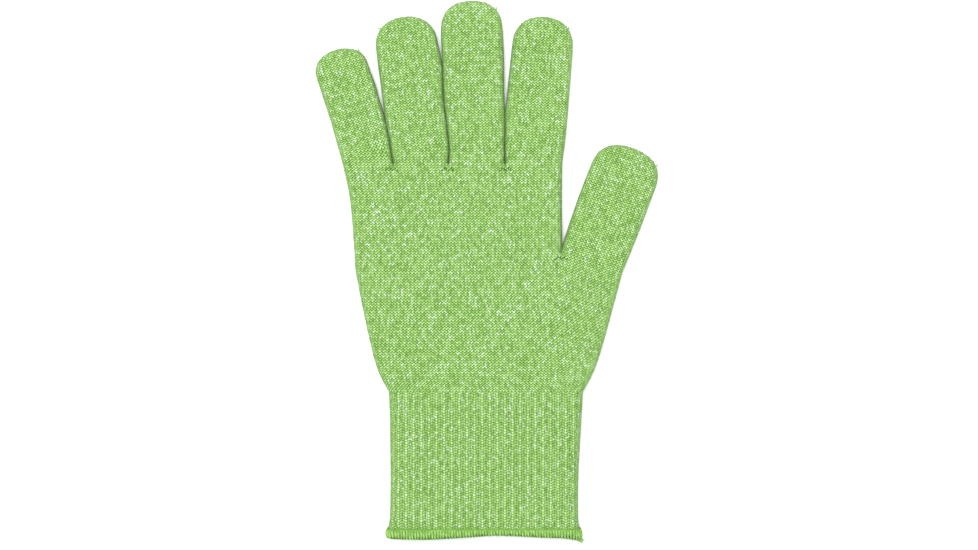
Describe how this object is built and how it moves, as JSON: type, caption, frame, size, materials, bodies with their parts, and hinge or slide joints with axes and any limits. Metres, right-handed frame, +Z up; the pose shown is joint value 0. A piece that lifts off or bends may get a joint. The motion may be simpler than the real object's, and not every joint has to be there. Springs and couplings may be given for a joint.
{
  "type": "cut resistant glove",
  "caption": "Seamless knitted cut resistant glove lying flat, with a ribbed elastic cuff and an overlocked hem, hinged where it folds.",
  "frame": {"origin": "on the resting surface, under the middle of the palm", "axes": "+Z up from the surface, +Y towards the fingertips, +X towards the thumb"},
  "size_m": [0.1525, 0.2412, 0.0096],
  "materials": {
    "knit_yarn": "matt plain knit, light green yarn with pale flecks",
    "hem_thread": "matt plain green overlock thread",
    "stitch_thread": "matt darker green closing stitches",
    "elastic_thread": "covered elastic thread"
  },
  "bodies": {
    "palm": {"palm_upper": "knit_yarn", "palm_lower": "knit_yarn", "little_ring_fork_stitch": "stitch_thread", "ring_middle_fork_stitch": "stitch_thread", "middle_index_fork_stitch": "stitch_thread", "thumb_fork_stitch": "stitch_thread"},
    "little_base": {"little_base": "knit_yarn"},
    "little_middle": {"little_middle": "knit_yarn"},
    "little_tip": {"little_tip": "knit_yarn", "little_yarn_end": "knit_yarn"},
    "ring_base": {"ring_base": "knit_yarn"},
    "ring_middle": {"ring_middle": "knit_yarn"},
    "ring_tip": {"ring_tip": "knit_yarn", "ring_yarn_end": "knit_yarn"},
    "middle_base": {"middle_base": "knit_yarn"},
    "middle_middle": {"middle_middle": "knit_yarn"},
    "middle_tip": {"middle_tip": "knit_yarn", "middle_yarn_end": "knit_yarn"},
    "index_base": {"index_base": "knit_yarn"},
    "index_middle": {"index_middle": "knit_yarn"},
    "index_tip": {"index_tip": "knit_yarn", "index_yarn_end": "knit_yarn"},
    "thumb_base": {"thumb_base": "knit_yarn"},
    "thumb_tip": {"thumb_tip": "knit_yarn", "thumb_yarn_end": "knit_yarn"},
    "cuff": {"wrist_cuff": "knit_yarn", "cuff_elastic": "elastic_thread", "cuff_hem": "hem_thread", "hem_thread_end": "hem_thread"}
  },
  "joints": [
    {"name": "little_base_fold", "type": "hinge", "parent": "palm", "child": "little_base", "pos_m": [-0.0532, 0.0484, 0.008], "axis": [1, 0, 0], "range_deg": [0, 75]},
    {"name": "little_middle_fold", "type": "hinge", "parent": "little_base", "child": "little_middle", "pos_m": [-0.05749, 0.06441, 0.008], "axis": [1, 0, 0], "range_deg": [0, 85]},
    {"name": "little_tip_fold", "type": "hinge", "parent": "little_middle", "child": "little_tip", "pos_m": [-0.06205, 0.08142, 0.008], "axis": [1, 0, 0], "range_deg": [0, 50]},
    {"name": "ring_base_fold", "type": "hinge", "parent": "palm", "child": "ring_base", "pos_m": [-0.0293, 0.0484, 0.008], "axis": [1, 0, 0], "range_deg": [0, 75]},
    {"name": "ring_middle_fold", "type": "hinge", "parent": "ring_base", "child": "ring_middle", "pos_m": [-0.03173, 0.06909, 0.008], "axis": [1, 0, 0], "range_deg": [0, 85]},
    {"name": "ring_tip_fold", "type": "hinge", "parent": "ring_middle", "child": "ring_tip", "pos_m": [-0.03431, 0.09107, 0.008], "axis": [1, 0, 0], "range_deg": [0, 50]},
    {"name": "middle_base_fold", "type": "hinge", "parent": "palm", "child": "middle_base", "pos_m": [-0.0044, 0.0484, 0.008], "axis": [1, 0, 0], "range_deg": [0, 75]},
    {"name": "middle_middle_fold", "type": "hinge", "parent": "middle_base", "child": "middle_middle", "pos_m": [-0.00524, 0.07136, 0.008], "axis": [1, 0, 0], "range_deg": [0, 85]},
    {"name": "middle_tip_fold", "type": "hinge", "parent": "middle_middle", "child": "middle_tip", "pos_m": [-0.00614, 0.09576, 0.008], "axis": [1, 0, 0], "range_deg": [0, 50]},
    {"name": "index_base_fold", "type": "hinge", "parent": "palm", "child": "index_base", "pos_m": [0.0209, 0.0484, 0.008], "axis": [1, 0, 0], "range_deg": [0, 75]},
    {"name": "index_middle_fold", "type": "hinge", "parent": "index_base", "child": "index_middle", "pos_m": [0.02249, 0.06907, 0.008], "axis": [1, 0, 0], "range_deg": [0, 85]},
    {"name": "index_tip_fold", "type": "hinge", "parent": "index_middle", "child": "index_tip", "pos_m": [0.02418, 0.09104, 0.008], "axis": [1, 0, 0], "range_deg": [0, 50]},
    {"name": "thumb_base_fold", "type": "hinge", "parent": "palm", "child": "thumb_base", "pos_m": [0.0468, 0.0038, 0.008], "axis": [0.9403, -0.3404, 0], "range_deg": [0, 45]},
    {"name": "thumb_tip_fold", "type": "hinge", "parent": "thumb_base", "child": "thumb_tip", "pos_m": [0.05527, 0.0272, 0.008], "axis": [0.9403, -0.3404, 0], "range_deg": [0, 60]},
    {"name": "wrist_fold", "type": "hinge", "parent": "palm", "child": "cuff", "pos_m": [0, -0.0535, 0.009], "axis": [-1, 0, 0], "range_deg": [0, 70]}
  ]
}
